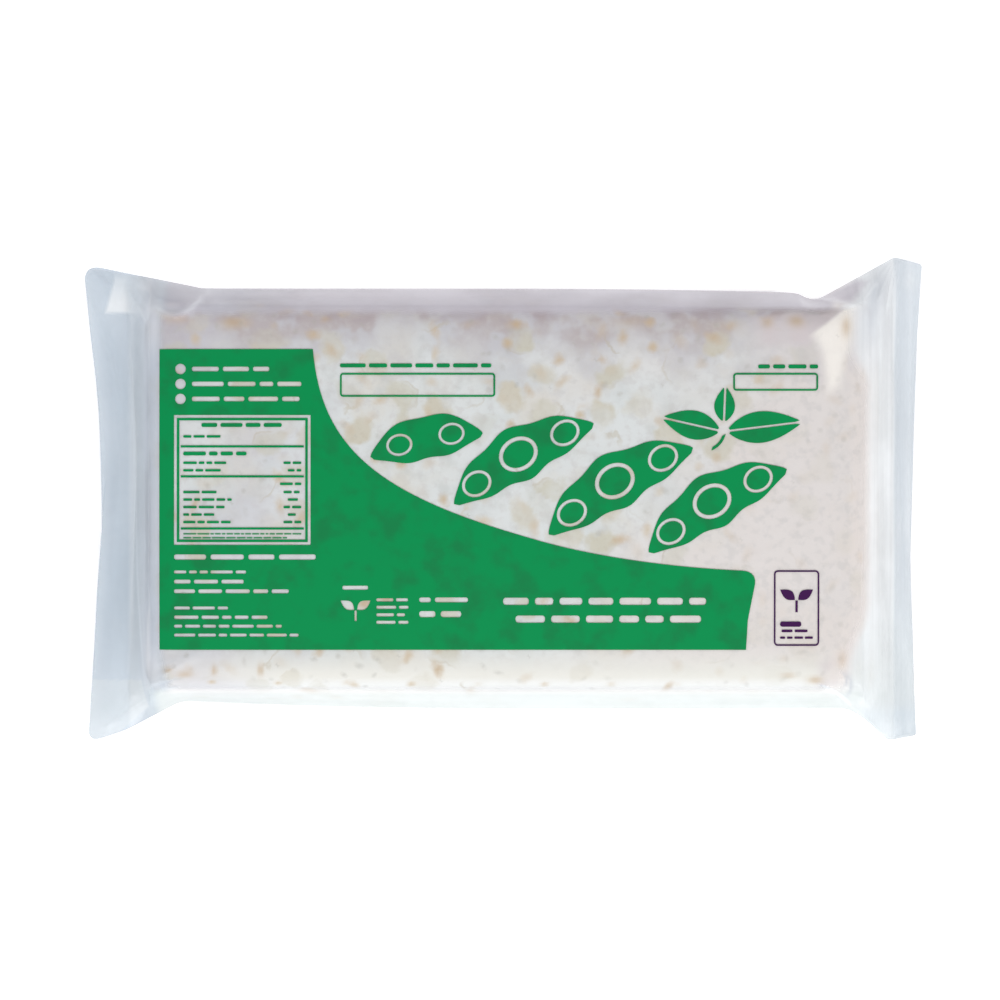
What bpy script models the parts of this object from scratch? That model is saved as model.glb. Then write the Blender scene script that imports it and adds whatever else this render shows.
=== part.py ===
"""A slab of tempeh sealed in a clear film sleeve, lying flat with its printed side up.

The sleeve is a flat tube of film, tight round the slab and welded shut across both ends. Half-way
up each long side it keeps the fold of the flattened tube. Beyond the slab the tube closes down to
nothing, so it spreads out sideways into four ears, one at each corner.

Units are metres. +X runs along the pack, +Y across it and +Z up from the surface that it lies on.
The origin is under the middle of the pack, on that surface. Distances along an end are measured
outwards from the middle of the pack.
"""

import math

import bmesh
import bpy
from mathutils import Vector
from mathutils.geometry import interpolate_bezier

# Driving dimensions.
PACK_LENGTH = 0.2384  # between the outermost points of the two seals
TUBE_WIDTH = 0.1378  # the film tube pressed flat, which is also the reach across the ears
SLAB_LENGTH = 0.2008
SLAB_MIDDLE_X = 0.001
SLAB_WIDTH = 0.1194  # over the side folds of the film, at the middle
SLAB_HEIGHT = 0.023
SEAL_THICKNESS = 0.0008

# The slab's section, as shares of the half-width across and of the half-height up.
FLAT_REACH = 0.80  # where the flat top and the flat underside end
SHOULDER_REACH = 0.925  # how far the curve of the shoulder is drawn out
SIDE_REACH = 0.945  # from here the film slants out to its fold
SIDE_HEIGHT = 0.55
CROWN = 0.0007  # rise of the top's middle over its long edges

# The ends of the slab.
END_ROUND = 0.010  # length over which the top turns down
END_DROP = 0.0020  # fall of the top over that length

# How finely the pack is drawn.
BODY_STATIONS = 9
EAR_STATIONS = 6
ROUND_STATIONS = 4
SLOPE_STATIONS = 7
SEAL_STATIONS = 3
CORNER_STATIONS = 3
FLAT_POINTS = 12
QUARTER_POINTS = 8

FILM_COLOUR = (0.72, 0.71, 0.69, 1.0)
FILM_ROUGHNESS = 0.22

HALF_TUBE = TUBE_WIDTH / 2
HALF_LENGTH = PACK_LENGTH / 2


class CrossLine:
    """A line across an end. It is pulled in towards the slab somewhere between the two ears."""

    def __init__(self, back, pinch, front, pinch_at, power):
        self.back = back  # distance along at the ear on the +Y side
        self.pinch = pinch
        self.front = front
        self.pinch_at = pinch_at  # as a share of the half-width
        self.power = power  # 1 for a sharp pinch, 2 for a round one

    def at(self, across):
        far, span = (
            (self.back, 1 - self.pinch_at)
            if across > self.pinch_at
            else (self.front, 1 + self.pinch_at)
        )
        share = abs((across - self.pinch_at) / span)
        return self.pinch + (far - self.pinch) * share**self.power


class Ear:
    """The half-width of the pack on one side of one end."""

    def __init__(
        self, root, leaves_at, waist, spreads_at, reach, full_at, curve, past_seal, corner_round
    ):
        self.root = root  # half-width where the film leaves the slab's side
        self.leaves_at = leaves_at
        self.waist = waist  # how far the film pulls in before it spreads
        self.spreads_at = spreads_at
        self.reach = reach
        self.full_at = full_at  # where it has its full reach
        self.curve = curve  # 1 spreads in a straight line, more starts slowly
        self.past_seal = past_seal  # change of the reach from there to the outer edge
        self.corner_round = corner_round  # radius of the seal's outer corner

    def half_width(self, along, outer_edge):
        if along <= self.leaves_at:
            return SLAB_WIDTH / 2 + (self.root - SLAB_WIDTH / 2) * (along / self.leaves_at) ** 2
        if along <= self.spreads_at:
            share = (along - self.leaves_at) / (self.spreads_at - self.leaves_at)
            return self.root - self.waist * math.sin(math.pi * share)
        share = min((along - self.spreads_at) / (self.full_at - self.spreads_at), 1.0)
        width = self.root + (self.reach - self.root) * share**self.curve
        beyond = (along - self.full_at) / (outer_edge - self.full_at)
        width += self.past_seal * min(max(beyond, 0.0), 1.0)
        radius = self.corner_round
        into_corner = max(along - (outer_edge - radius), 0.0)
        return width - radius + math.sqrt(max(radius**2 - into_corner**2, 0.0))


class End:
    """One end of the pack."""

    def __init__(self, side, seal_height, droop, inner, outer, back, front):
        self.side = side  # -1 for the left end, 1 for the right
        self.seal_height = seal_height
        self.droop = droop  # fall of the seal's outer edge at its pinch
        self.inner = inner
        self.outer = outer
        self.back = back
        self.front = front
        self.slab_end = SLAB_LENGTH / 2 + side * SLAB_MIDDLE_X

    def ear(self, across):
        return self.back if across > 0 else self.front

    def along(self, slope, seal, across):
        """From the slab's end, over the slope, to the inner line, and on to the outer one."""
        inner = self.inner.at(across)
        if seal > 0:
            return inner + (self.outer.at(across) - inner) * seal
        return self.slab_end + (inner - self.slab_end) * slope


LEFT_END = End(
    side=-1,
    seal_height=0.0085,
    droop=0.0030,
    inner=CrossLine(back=0.1085, pinch=0.1045, front=0.1075, pinch_at=0.20, power=1.4),
    outer=CrossLine(back=0.1192, pinch=0.1129, front=0.1181, pinch_at=0.18, power=0.75),
    back=Ear(0.0597, 0.084, 0.0, 0.085, 0.0646, 0.1085, 1.0, 0.0022, 0.0038),
    front=Ear(0.0576, 0.090, 0.0, 0.0915, 0.0660, 0.1075, 1.0, 0.0036, 0.0028),
)
RIGHT_END = End(
    side=1,
    seal_height=0.0100,
    droop=0.0024,
    inner=CrossLine(back=0.1115, pinch=0.1108, front=0.1095, pinch_at=0.0, power=1.5),
    outer=CrossLine(back=0.1192, pinch=0.1161, front=0.1176, pinch_at=-0.08, power=1.8),
    back=Ear(0.0586, 0.0835, 0.0019, 0.0930, HALF_TUBE, 0.1115, 1.0, -0.0022, 0.0006),
    front=Ear(0.0596, 0.096, 0.0, 0.0970, HALF_TUBE, 0.1095, 1.45, -0.0015, 0.0006),
)


def eased(share):
    """0 to 1, with no kink at either end."""
    share = min(max(share, 0.0), 1.0)
    return share * share * (3 - 2 * share)


def quarter(half_height, middle, closed):
    """From the end of a flat, round the shoulder, to the fold half-way up the side.

    closed runs from 0 over the slab to 1 at the seal, where the side is a straight taper.
    """

    def blend(over_slab, at_seal):
        return over_slab + (at_seal - over_slab) * closed

    points = interpolate_bezier(
        Vector((FLAT_REACH, middle + half_height)),
        Vector((blend(SHOULDER_REACH, 0.86), middle + half_height * blend(1, 0.8))),
        Vector((blend(SIDE_REACH, 0.93), middle + half_height * blend(SIDE_HEIGHT, 0.3))),
        Vector((1.0, middle)),
        QUARTER_POINTS + 1,
    )
    return [(point.x, point.y) for point in points]


def section(low, high, closed):
    """The closed outline at one station, as (share of the half-width, height) pairs."""
    middle = (low + high) / 2
    rise = CROWN * (1 - closed)
    over = quarter((high - low) / 2, middle, closed)
    under = quarter((low - high) / 2, middle, closed)
    flat = [FLAT_REACH * (1 - 2 * i / FLAT_POINTS) for i in range(1, FLAT_POINTS)]

    loop = [(share, high + rise * (1 - (share / FLAT_REACH) ** 2)) for share in flat]
    loop += [(-share, z) for share, z in over]
    loop += [(-share, z) for share, z in reversed(under[:-1])]
    loop += [(-share, low) for share in flat]
    loop += under[:-1]
    loop += list(reversed(over))
    return loop


def body_ring(end, along):
    """The points round the pack at one station over the slab."""
    turned = min(max((along - (end.slab_end - END_ROUND)) / END_ROUND, 0.0), 1.0)
    loop = section(0.0, SLAB_HEIGHT - END_DROP * turned**2, 0.0)
    outer = HALF_LENGTH
    widths = {True: end.back.half_width(along, outer), False: end.front.half_width(along, outer)}
    return [Vector((end.side * along, share * widths[share > 0], z)) for share, z in loop]


def end_ring(end, slope, seal):
    """The points round the pack beyond the slab.

    slope runs from 0 at the slab's end to 1 at the inner line, then seal from 0 to 1 to the edge.
    """
    low = (end.seal_height - SEAL_THICKNESS / 2) * slope**1.3
    start = SLAB_HEIGHT - END_DROP
    high = start + (end.seal_height + SEAL_THICKNESS / 2 - start) * slope**0.85
    points = []
    for across, z in section(low, high, eased(slope)):
        ear = end.ear(across)
        edge = math.copysign(1.0, across)
        width = ear.half_width(end.along(slope, seal, edge), end.outer.at(edge))
        fall = end.droop * seal * (1 - abs(across) ** 2)
        points.append(
            Vector((end.side * end.along(slope, seal, across), across * width, z - fall))
        )
    return points


def rings(end):
    """Every ring of one end, from the middle of the pack outwards."""
    first_leaves = min(end.back.leaves_at, end.front.leaves_at)
    spans = (
        (0.0, first_leaves, BODY_STATIONS),
        (first_leaves, end.slab_end - END_ROUND, EAR_STATIONS),
        (end.slab_end - END_ROUND, end.slab_end, ROUND_STATIONS),
    )
    for start, stop, count in spans:
        for i in range(count):
            yield body_ring(end, start + (stop - start) * i / count)
    for i in range(SLOPE_STATIONS):
        yield end_ring(end, i / SLOPE_STATIONS, 0.0)
    corner = max(end.back.corner_round, end.front.corner_round)
    corner_starts = 1 - corner / (end.outer.back - end.inner.back)
    for i in range(SEAL_STATIONS):
        yield end_ring(end, 1.0, corner_starts * i / SEAL_STATIONS)
    for i in range(CORNER_STATIONS + 1):
        turn = math.sin(math.pi / 2 * i / CORNER_STATIONS)
        yield end_ring(end, 1.0, corner_starts + (1 - corner_starts) * turn)


def join_rings(mesh, first, second):
    """A band of faces from one ring to the next."""
    count = len(first)
    for i in range(count):
        j = (i + 1) % count
        mesh.faces.new((first[i], first[j], second[j], second[i]))


def film_material():
    material = bpy.data.materials.new("clear_film_over_tempeh")
    material.use_nodes = True
    shader = material.node_tree.nodes["Principled BSDF"]
    shader.inputs["Base Color"].default_value = FILM_COLOUR
    shader.inputs["Roughness"].default_value = FILM_ROUGHNESS
    shader.inputs["Metallic"].default_value = 0.0
    return material


def sealed_pack():
    """The pack as one solid: rings lofted from the left seal, over the slab, to the right seal."""
    mesh = bmesh.new()
    loops = list(reversed(list(rings(LEFT_END)))) + list(rings(RIGHT_END))[1:]
    placed = [[mesh.verts.new(point) for point in loop] for loop in loops]
    for first, second in zip(placed, placed[1:]):
        join_rings(mesh, first, second)
    mesh.faces.new(placed[0])
    mesh.faces.new(list(reversed(placed[-1])))
    bmesh.ops.recalc_face_normals(mesh, faces=mesh.faces)
    resting = [face for face in mesh.faces if all(abs(v.co.z) < 1e-7 for v in face.verts)]
    bmesh.ops.dissolve_faces(mesh, faces=resting, use_verts=False)
    data = bpy.data.meshes.new("sealed_pack")
    mesh.to_mesh(data)
    mesh.free()
    data.shade_smooth()
    data.set_sharp_from_angle(angle=math.radians(40))
    data.materials.append(film_material())
    return bpy.data.objects.new("sealed_pack", data)


def main():
    for leftover in list(bpy.data.objects):
        bpy.data.objects.remove(leftover, do_unlink=True)
    pack = bpy.data.collections.new("tempeh_pack")
    bpy.context.scene.collection.children.link(pack)
    pack.objects.link(sealed_pack())


main()
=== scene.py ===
"""A slab of tempeh sealed in a clear, printed film sleeve, seen from straight above.

The sections follow the pack as it is put together: the slab of tempeh, the film sleeve round it,
the print on the film, and last the table and the light that it lies in. Units are metres.
"""

import math

import bpy
import numpy as np
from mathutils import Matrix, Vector, kdtree
from mathutils.geometry import interpolate_bezier


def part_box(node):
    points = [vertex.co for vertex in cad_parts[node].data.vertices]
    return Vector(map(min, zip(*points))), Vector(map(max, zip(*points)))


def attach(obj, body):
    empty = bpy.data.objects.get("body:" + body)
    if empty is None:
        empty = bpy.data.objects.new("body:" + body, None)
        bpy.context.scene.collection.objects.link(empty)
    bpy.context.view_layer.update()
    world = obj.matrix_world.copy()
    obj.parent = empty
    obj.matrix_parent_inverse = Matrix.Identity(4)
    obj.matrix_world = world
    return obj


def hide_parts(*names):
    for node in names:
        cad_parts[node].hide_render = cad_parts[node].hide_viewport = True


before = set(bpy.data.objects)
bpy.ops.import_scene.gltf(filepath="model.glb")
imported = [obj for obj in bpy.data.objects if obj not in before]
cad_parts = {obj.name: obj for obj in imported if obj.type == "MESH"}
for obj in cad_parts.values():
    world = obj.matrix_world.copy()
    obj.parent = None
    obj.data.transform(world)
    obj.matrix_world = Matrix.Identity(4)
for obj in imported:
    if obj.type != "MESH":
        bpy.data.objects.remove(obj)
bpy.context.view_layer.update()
pack_low, pack_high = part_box("sealed_pack")
mm = 0.001


# ---------------------------------------------------------------------------------------------
# The tempeh slab
# Cooked soybean halves, bound by white mould into one soft block. It grew inside the sleeve, so
# it is flat above and below, with round shoulders and long sides that belly out a little.

slab_size = Vector((207.6, 111.4, 23.7)) * mm  # before it is pressed into the sleeve
slab_middle = Vector((2.8 * mm, -0.3 * mm, (pack_low.z + pack_high.z) / 2))
slab_corner = 8.5 * mm  # radius of its four upright corners
slab_shoulder = 4.6 * mm  # radius along its upper and lower edges
slab_belly = 1.3 * mm  # how far each long side stands out half-way along
slab_clearance = 0.22 * mm  # between the slab and the sleeve
slab_grain = 0.85 * mm  # spacing of the points that carry its relief
bean_spacing = 10.0 * mm  # least distance between the middles of two beans
spot_spacing = 5.6 * mm
speck_spacing = 4.6 * mm
bean_relief = 0.16 * mm  # how far a bare bean stands out
groove_depth = 0.12 * mm  # round each bean
pit_depth = 0.16 * mm  # round each spot where the mould is thin
nub_height = 0.10 * mm


def activate(piece):
    """Leaves edit mode, with only this piece selected."""
    if bpy.context.object and bpy.context.object.mode != "OBJECT":
        bpy.ops.object.mode_set(mode="OBJECT")
    bpy.ops.object.select_all(action="DESELECT")
    piece.select_set(True)
    bpy.context.view_layer.objects.active = piece


def edit(piece, kind="EDGE"):
    """Opens the piece in edit mode with nothing selected."""
    activate(piece)
    bpy.ops.object.mode_set(mode="EDIT")
    bpy.ops.mesh.select_mode(type=kind)
    bpy.ops.mesh.select_all(action="DESELECT")


def select_edges(piece, wanted):
    """Selects the edges whose two end points satisfy wanted(a, b)."""
    edit(piece)
    bpy.ops.object.mode_set(mode="OBJECT")
    points = piece.data.vertices
    for line in piece.data.edges:
        line.select = bool(wanted(*(points[i] for i in line.vertices)))
    bpy.ops.object.mode_set(mode="EDIT")


def apply_modifier(piece, kind, **settings):
    """Adds a modifier with these settings and applies it at once."""
    activate(piece)
    modifier = piece.modifiers.new(kind.lower(), kind)
    for name, value in settings.items():
        setattr(modifier, name, value)
    bpy.ops.object.modifier_apply(modifier=modifier.name)


def read_points(piece):
    """The piece's points as an array of rows."""
    points = np.empty(len(piece.data.vertices) * 3)
    piece.data.vertices.foreach_get("co", points)
    return points.reshape(-1, 3)


def read_normals(piece):
    normals = np.empty(len(piece.data.vertices) * 3)
    piece.data.vertices.foreach_get("normal", normals)
    return normals.reshape(-1, 3)


def write_points(piece, points):
    piece.data.vertices.foreach_set("co", points.ravel())
    piece.data.update()


def store(piece, name, values):
    """Keeps one number for each point under this name, for the material to read."""
    layer = piece.data.attributes.new(name, "FLOAT", "POINT")
    layer.data.foreach_set("value", np.asarray(values, dtype=np.float32))


def smoothstep(low, high, value):
    share = np.clip((value - low) / (high - low), 0, 1)
    return share * share * (3 - 2 * share)


def patch(points, corners, soft):
    """1 inside a convex outline of (x, y) places in millimetres, counter-clockwise, 0 outside.

    Its sides fade over the width soft, which is one number or one for each side.
    """
    inside = np.ones(len(points))
    softness = np.broadcast_to(soft, len(corners))
    for start, stop, fade in zip(corners, corners[1:] + corners[:1], softness):
        run = np.array(stop, float) - start
        offset = points[:, :2] / mm - start
        gap = (run[0] * offset[:, 1] - run[1] * offset[:, 0]) / np.hypot(*run)
        inside = np.minimum(inside, smoothstep(-fade / 2, fade / 2, gap))
    return inside


bpy.ops.object.select_all(action="DESELECT")
bpy.ops.mesh.primitive_cube_add(size=1, location=slab_middle, scale=slab_size)
slab = bpy.context.object
slab.name = "tempeh_slab"
bpy.ops.object.transform_apply()
select_edges(slab, lambda a, b: abs(a.co.z - b.co.z) > slab_size.z / 2)
bpy.ops.mesh.bevel(offset=slab_corner, segments=8, affect="EDGES")
rim_height = slab_size.z * 0.4
select_edges(
    slab,
    lambda a, b: abs(a.co.z - b.co.z) < mm and abs(a.co.z - slab_middle.z) > rim_height,
)
bpy.ops.mesh.bevel(offset=slab_shoulder, segments=7, affect="EDGES")
bpy.ops.object.mode_set(mode="OBJECT")
apply_modifier(slab, "REMESH", mode="VOXEL", voxel_size=slab_grain)
apply_modifier(slab, "SMOOTH", factor=0.5, iterations=3)

points = read_points(slab)
along = (points[:, 0] - slab_middle.x) / (slab_size.x / 2)
across = (points[:, 1] - slab_middle.y) / (slab_size.y / 2)
points[:, 1] += np.sign(across) * smoothstep(0.6, 1, abs(across)) * slab_belly * (1 - along**2)
write_points(slab, points)


def scatter(points, spacing, seed):
    """Indices of points picked at random, no two of them closer than the spacing."""
    taken = {}
    picked = []
    for i in np.random.default_rng(seed).permutation(len(points)):
        cell = tuple((points[i] // spacing).astype(int))
        near = (
            taken.get((cell[0] + dx, cell[1] + dy, cell[2] + dz))
            for dx in (-1, 0, 1)
            for dy in (-1, 0, 1)
            for dz in (-1, 0, 1)
        )
        if all(p is None or np.linalg.norm(points[i] - p) >= spacing for p in near):
            taken[cell] = points[i]
            picked.append(i)
    return picked


def lay_ovals(points, normals, tree, spacing, seed, half_length, half_width, bend):
    """Lays flat ovals at random on a surface.

    Returns, for each point, its distance outside the nearest oval's rim in millimetres (less than
    0 inside), two random numbers of that oval, and its place round the rim.
    """
    count = len(points)
    rim = np.full(count, 9.0)  # far outside any oval
    first, second, turn = np.zeros(count), np.zeros(count), np.zeros(count)
    random = np.random.default_rng(seed + 1)
    for i in scatter(points, spacing, seed):
        long = random.uniform(*half_length)
        wide = random.uniform(*half_width)
        heading = Vector(random.normal(size=3)).normalized()
        tones = random.uniform(size=2)
        curve = random.uniform(-bend, bend)
        up = Vector(normals[i])
        heading = (heading - up * heading.dot(up)).normalized()
        side = up.cross(heading)
        near = np.array([found[1] for found in tree.find_range(points[i], long * 1.7)])
        offset = points[near] - points[i]
        u = offset @ np.array(heading) / long
        v = offset @ np.array(side) / wide + curve * (u**2 - 0.3)
        w = offset @ np.array(up) / (wide * 1.4)
        out = (np.sqrt(u**2 + v**2 + w**2) - 1) * wide / mm
        closer = out < rim[near]
        chosen = near[closer]
        rim[chosen] = out[closer]
        first[chosen], second[chosen] = tones
        turn[chosen] = np.arctan2(v[closer], u[closer])
    return rim, first, second, turn


normals = read_normals(slab)
tree = kdtree.KDTree(len(points))
for i, point in enumerate(points):
    tree.insert(point, i)
tree.balance()
bean_rim, bean_tone, bean_bare, bean_turn = lay_ovals(
    points, normals, tree, bean_spacing, 11, (4.2 * mm, 6.0 * mm), (3.0 * mm, 4.2 * mm), 0.6
)
spot_rim, spot_tone, spot_bare, _ = lay_ovals(
    points, normals, tree, spot_spacing, 23, (1.4 * mm, 2.8 * mm), (1.0 * mm, 1.6 * mm), 0.4
)
speck_rim, *_ = lay_ovals(
    points, normals, tree, speck_spacing, 37, (0.6 * mm, 1.3 * mm), (0.4 * mm, 0.8 * mm), 0.2
)
store(slab, "bean_rim", bean_rim)
store(slab, "bean_tone", bean_tone)
store(slab, "bean_bare", bean_bare)
store(slab, "bean_turn", np.cos(bean_turn - bean_tone * 2 * math.pi))
store(slab, "spot_rim", spot_rim)
store(slab, "spot_tone", spot_tone)
store(slab, "spot_bare", spot_bare)
store(slab, "speck_rim", speck_rim)
nub = np.zeros(len(points))  # where it swells out at the pinholes along the front
stain = np.zeros(len(points))  # brown spots where the mould is thin at the corners
above = points[:, 2] > slab_middle.z


def dab(x, y, length, width, strength):
    """A soft spot on top of the slab. All but its strength is in millimetres."""
    gap = np.hypot((points[:, 0] / mm - x) / length, (points[:, 1] / mm - y) / width)
    return strength * np.exp(-1.2 * gap**2) * above


for i, strength in enumerate((1.0, 0.9, 0.2, 1.0, 0.3, 0.8, 0.5, 0.2)):
    nub += dab(-81.8 + 18.7 * i, -53.0, 1.1, 0.9, strength)
for spot in (
    ((96.9, 48.4, 2.0, 3.4, 0.8), (82.4, 50.2, 2.6, 2.2, 0.7), (74.2, 49.8, 1.8, 2.0, 0.6))
    + ((87.6, -51.4, 2.4, 1.4, 0.7), (80.0, -49.8, 2.2, 0.8, 0.5), (95.6, -45.4, 1.7, 2.6, 0.5))
    + ((-94.6, -48.3, 1.9, 1.0, 0.9), (-89.4, -49.8, 2.4, 1.3, 0.6), (-81.0, -48.4, 0.9, 1.8, 0.7))
    + ((-68.0, -48.2, 0.9, 2.0, 0.8), (-91.0, 50.2, 4.0, 1.3, 0.4), (-76.0, 49.6, 3.6, 2.2, 0.7))
    + ((63.0, 48.6, 5.0, 2.6, 0.3), (35.0, 49.8, 6.5, 2.2, 0.3))
):
    stain = np.maximum(stain, dab(*spot))
store(slab, "nub", nub)
store(slab, "stain", stain)
lit_corner = (  # painted light at the back right corner, where the film is lifted off the slab
    (
        [(100.2, 54.9), (95.9, 54.4), (86.8, 46.2), (90.2, 39.6), (97.4, 41.0)],
        (2.0, 1.5, 4.5, 6.0, 4.5),
    ),
    ([(97.2, 43.0), (89.4, 44.0), (91.2, 30.0), (94.4, 31.6)], (6.0, 3.5, 5.0, 4.5)),
)
pale = np.maximum(*(patch(points, *part) for part in lit_corner))
store(slab, "pale", pale * above)
pink_corner = np.maximum(  # pinker and plain at the two right corners; at the back one it is partly painted light, lighter than the shade round it
    patch(points, [(97, 54.6), (82, 53.4), (70, 51), (72, 43), (86, 43)], (3, 3, 8, 5, 3)),
    0.65 * patch(points, [(99.5, -41.0), (88.5, -46.0), (88.5, -54.0), (99.5, -54.0)], 5.0),
)
store(slab, "pink_corner", pink_corner * above)

swell = np.clip(-bean_rim / 3.0, 0, 1)
relief = nub_height * (nub + stain) + bean_relief * np.sqrt(swell) * (0.35 + 0.65 * bean_bare)
relief -= groove_depth * np.exp(-((bean_rim - 0.4) ** 2) / 0.8)
relief -= pit_depth * np.clip(1 - abs(spot_rim + 0.6), 0, 1) * (spot_bare > 0.5)
points += normals * relief[:, None]
write_points(slab, points)
activate(slab)
bpy.ops.object.shade_smooth()


def new_material(name):
    """A material with only its output, and its node tree."""
    material = bpy.data.materials.new(name)
    material.use_nodes = True
    tree = material.node_tree
    tree.nodes.clear()
    return material, tree


def add(tree, kind, **sockets):
    """Adds a shader node. A name that is a setting of the node is set, and any other is an input,
    which takes a value or another node's output."""
    node = tree.nodes.new("ShaderNode" + kind)
    inputs = {}
    for name, value in sockets.items():
        if hasattr(node, name):
            setattr(node, name, value)
        else:
            inputs[name] = value
    for name, value in inputs.items():
        if name[0] == "i" and name[1:].isdigit():
            socket = node.inputs[int(name[1:])]
        else:
            socket = node.inputs[name.replace("_", " ")]
        if isinstance(value, bpy.types.NodeSocket):
            tree.links.new(value, socket)
        else:
            socket.default_value = value
    return node


def blend_colours(tree, share, first, second):
    """The colour between two, as far towards the second as share says."""
    node = add(tree, "Mix", data_type="RGBA")
    for index, value in ((0, share), (6, first), (7, second)):
        if isinstance(value, bpy.types.NodeSocket):
            tree.links.new(value, node.inputs[index])
        else:
            node.inputs[index].default_value = value
    return node.outputs[2]


def ramp(tree, value, start, stop, low=0.0, high=1.0):
    """low where value is start, high where it is stop, and smooth between."""
    node = add(
        tree,
        "MapRange",
        interpolation_type="SMOOTHSTEP",
        Value=value,
        From_Min=start,
        From_Max=stop,
        To_Min=low,
        To_Max=high,
    )
    return node.outputs["Result"]


def arithmetic(tree, operation, first, second):
    return add(tree, "Math", operation=operation, i0=first, i1=second).outputs[0]


def times(tree, *values):
    """The product of two or more numbers."""
    product = values[0]
    for value in values[1:]:
        product = arithmetic(tree, "MULTIPLY", product, value)
    return product


def cloud(tree, place, size, detail=3.0):
    """Cloudy numbers from 0 to 1. size is that of a cloud, in metres."""
    return add(tree, "TexNoise", Vector=place, Scale=1 / size, Detail=detail).outputs["Fac"]


def attribute(tree, name):
    """The number that store() kept on the mesh under this name."""
    return add(tree, "Attribute", attribute_name=name).outputs["Fac"]


MOULD_WHITE = (0.81, 0.815, 0.775, 1)
MOULD_THIN = (0.735, 0.75, 0.71, 1)
MOULD_CREAM = (0.785, 0.745, 0.66, 1)
MOULD_WARM = (0.855, 0.765, 0.705, 1)
MOULD_BACK_SHADE = (0.62, 0.585, 0.595, 1)  # painted shade along the back edge, which faces away from the lamp
MOULD_SHADE = (0.56, 0.485, 0.465, 1)  # in darker, browner patches there, partly painted shade
MOULD_MAUVE = (0.62, 0.585, 0.63, 1)  # towards the left end
MOULD_MOTTLE = (0.62, 0.62, 0.57, 1)  # in small clouds all over
MOULD_GRAIN = (0.66, 0.62, 0.58, 1)  # in fine specks all over
MOULD_FRONT_LIT = (0.91, 0.875, 0.78, 1)  # lighter and creamier along the front edge, partly painted light from the lamp in front
MOULD_BRIGHT = (0.97, 0.955, 0.90, 1)  # painted light on the shoulder there, which faces the lamp
MOULD_PINK_CORNER = (0.745, 0.655, 0.635, 1)  # at the right corners, partly painted light
MOULD_LIT_CORNER = (1.0, 0.925, 0.83, 1)  # painted light under the lifted film
BEAN_BEIGE = (0.70, 0.62, 0.47, 1)
BEAN_OLIVE = (0.65, 0.61, 0.46, 1)
BEAN_RIM = (0.56, 0.47, 0.31, 1)
SPOT_TAN = (0.70, 0.56, 0.38, 1)
SPOT_ORANGE = (0.62, 0.44, 0.25, 1)
STAIN_BROWN = (0.34, 0.24, 0.17, 1)
EDGE_SHADE_MAUVE = (0.42, 0.33, 0.36, 1)  # painted shade in cloudy patches along the back edge, where it rounds down
SPECK_GREY = (0.50, 0.47, 0.40, 1)

tempeh, tree = new_material("tempeh")
place = add(tree, "TexCoord").outputs["Object"]
axes = add(tree, "SeparateXYZ", Vector=place)
fine = cloud(tree, place, 1.6 * mm)
middle = cloud(tree, place, 4.5 * mm, 4.0)
wide = cloud(tree, place, 14 * mm, 5.0)
broad = cloud(tree, place, 45 * mm, 2.0)
mould = blend_colours(tree, ramp(tree, wide, 0.42, 0.68), MOULD_WHITE, MOULD_THIN)
moved = add(tree, "Mapping", Vector=place, Location=(0.3, 0, 0)).outputs[0]
creamy = ramp(tree, cloud(tree, moved, 20 * mm, 4.0), 0.48, 0.68)
mould = blend_colours(tree, creamy, mould, MOULD_CREAM)
mottled = ramp(tree, cloud(tree, moved, 5.5 * mm, 5.0), 0.50, 0.74, 0.0, 0.55)
mould = blend_colours(tree, mottled, mould, MOULD_MOTTLE)
grainy = ramp(tree, cloud(tree, moved, 2.4 * mm, 3.0), 0.46, 0.70, 0.0, 0.4)
to_right = arithmetic(tree, "ADD", axes.outputs["X"], ramp(tree, broad, 0.3, 0.7, -0.03, 0.03))
mould = blend_colours(tree, ramp(tree, to_right, 0.02, 0.09, 0.0, 0.8), mould, MOULD_WARM)
# Painted shade towards the back edge, which faces away from the lamp, darker in cloudy patches.
to_back = arithmetic(tree, "ADD", axes.outputs["Y"], ramp(tree, wide, 0.3, 0.7, -0.006, 0.006))
mould = blend_colours(tree, ramp(tree, to_back, 0.030, 0.050, 0.0, 0.85), mould, MOULD_BACK_SHADE)
patchy = ramp(tree, cloud(tree, moved, 12 * mm, 3.0), 0.43, 0.53)
patchy = times(tree, patchy, ramp(tree, to_back, 0.042, 0.052))
mould = blend_colours(tree, patchy, mould, MOULD_SHADE)
mould = blend_colours(tree, grainy, mould, MOULD_GRAIN)
# Partly painted light: lighter along the front edge, and most on its shoulder, which faces the
# lamp.
mould = blend_colours(tree, ramp(tree, axes.outputs["Y"], -0.040, -0.050), mould, MOULD_FRONT_LIT)
mould = blend_colours(tree, ramp(tree, axes.outputs["Y"], -0.0498, -0.0524), mould, MOULD_BRIGHT)
mould = blend_colours(tree, ramp(tree, to_right, -0.055, -0.095, 0.0, 0.45), mould, MOULD_MAUVE)
rim = arithmetic(tree, "ADD", attribute(tree, "bean_rim"), ramp(tree, middle, 0.2, 0.8, -1.1, 1.1))
tone = attribute(tree, "bean_tone")
covered = ramp(tree, to_right, 0.064, 0.086, 1.0, 0.25)  # the mould is thicker at the right end
shows = times(
    tree,
    ramp(tree, attribute(tree, "bean_bare"), 0.35, 0.95, 0.08, 0.85),
    covered,
    ramp(tree, wide, 0.30, 0.55, 0.45, 1.0),
    ramp(tree, to_back, 0.040, 0.052, 1.0, 0.4),
    ramp(tree, axes.outputs["Y"], -0.040, -0.047, 1.0, 0.55),
)
bean = blend_colours(tree, tone, BEAN_BEIGE, BEAN_OLIVE)
bean = blend_colours(tree, ramp(tree, fine, 0.45, 0.75, 0.0, 0.35), bean, BEAN_RIM)
inside = times(tree, ramp(tree, rim, 0.5, -1.5), shows)
colour = blend_colours(tree, inside, mould, bean)
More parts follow.
